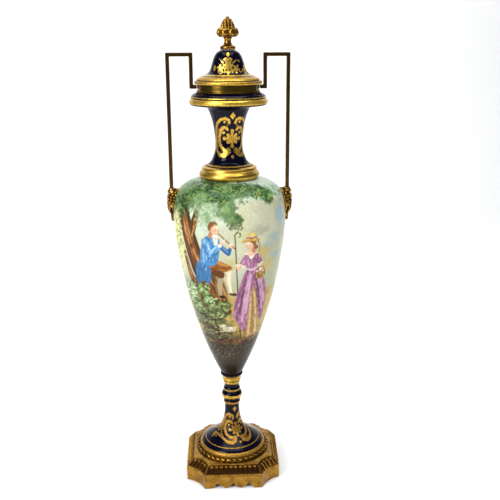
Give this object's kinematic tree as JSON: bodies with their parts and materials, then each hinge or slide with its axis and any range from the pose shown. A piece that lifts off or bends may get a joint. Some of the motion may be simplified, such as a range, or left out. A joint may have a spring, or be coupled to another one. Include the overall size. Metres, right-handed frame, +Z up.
{
  "type": "mantel urn",
  "caption": "Lidded porcelain mantel urn with a tall painted ovoid body, gilt-bronze mask handles and a square footed plinth.",
  "frame": {"origin": "on the ground under the urn's axis", "axes": "+Z up along the urn's axis, +X through the two handles, -Y towards the painted front"},
  "size_m": [0.158, 0.1424, 0.5996],
  "materials": {
    "cobalt_porcelain": "glossy cobalt-blue glaze with burnished gilding",
    "painted_porcelain": "glossy glaze over a painted scene",
    "gilt_bronze": "satin gilding with dark patina in the hollows",
    "dark_brass": "worn, darkened brass"
  },
  "bodies": {
    "root": {"plinth": "gilt_bronze", "rope_ring": "gilt_bronze", "foot": "cobalt_porcelain", "body": "painted_porcelain", "neck_collar": "gilt_bronze", "neck": "cobalt_porcelain", "mouth_collar": "dark_brass", "lid": "cobalt_porcelain", "finial": "gilt_bronze", "handle_left": "dark_brass", "handle_right": "dark_brass", "mask_left": "gilt_bronze", "mask_right": "gilt_bronze"}
  },
  "joints": []
}
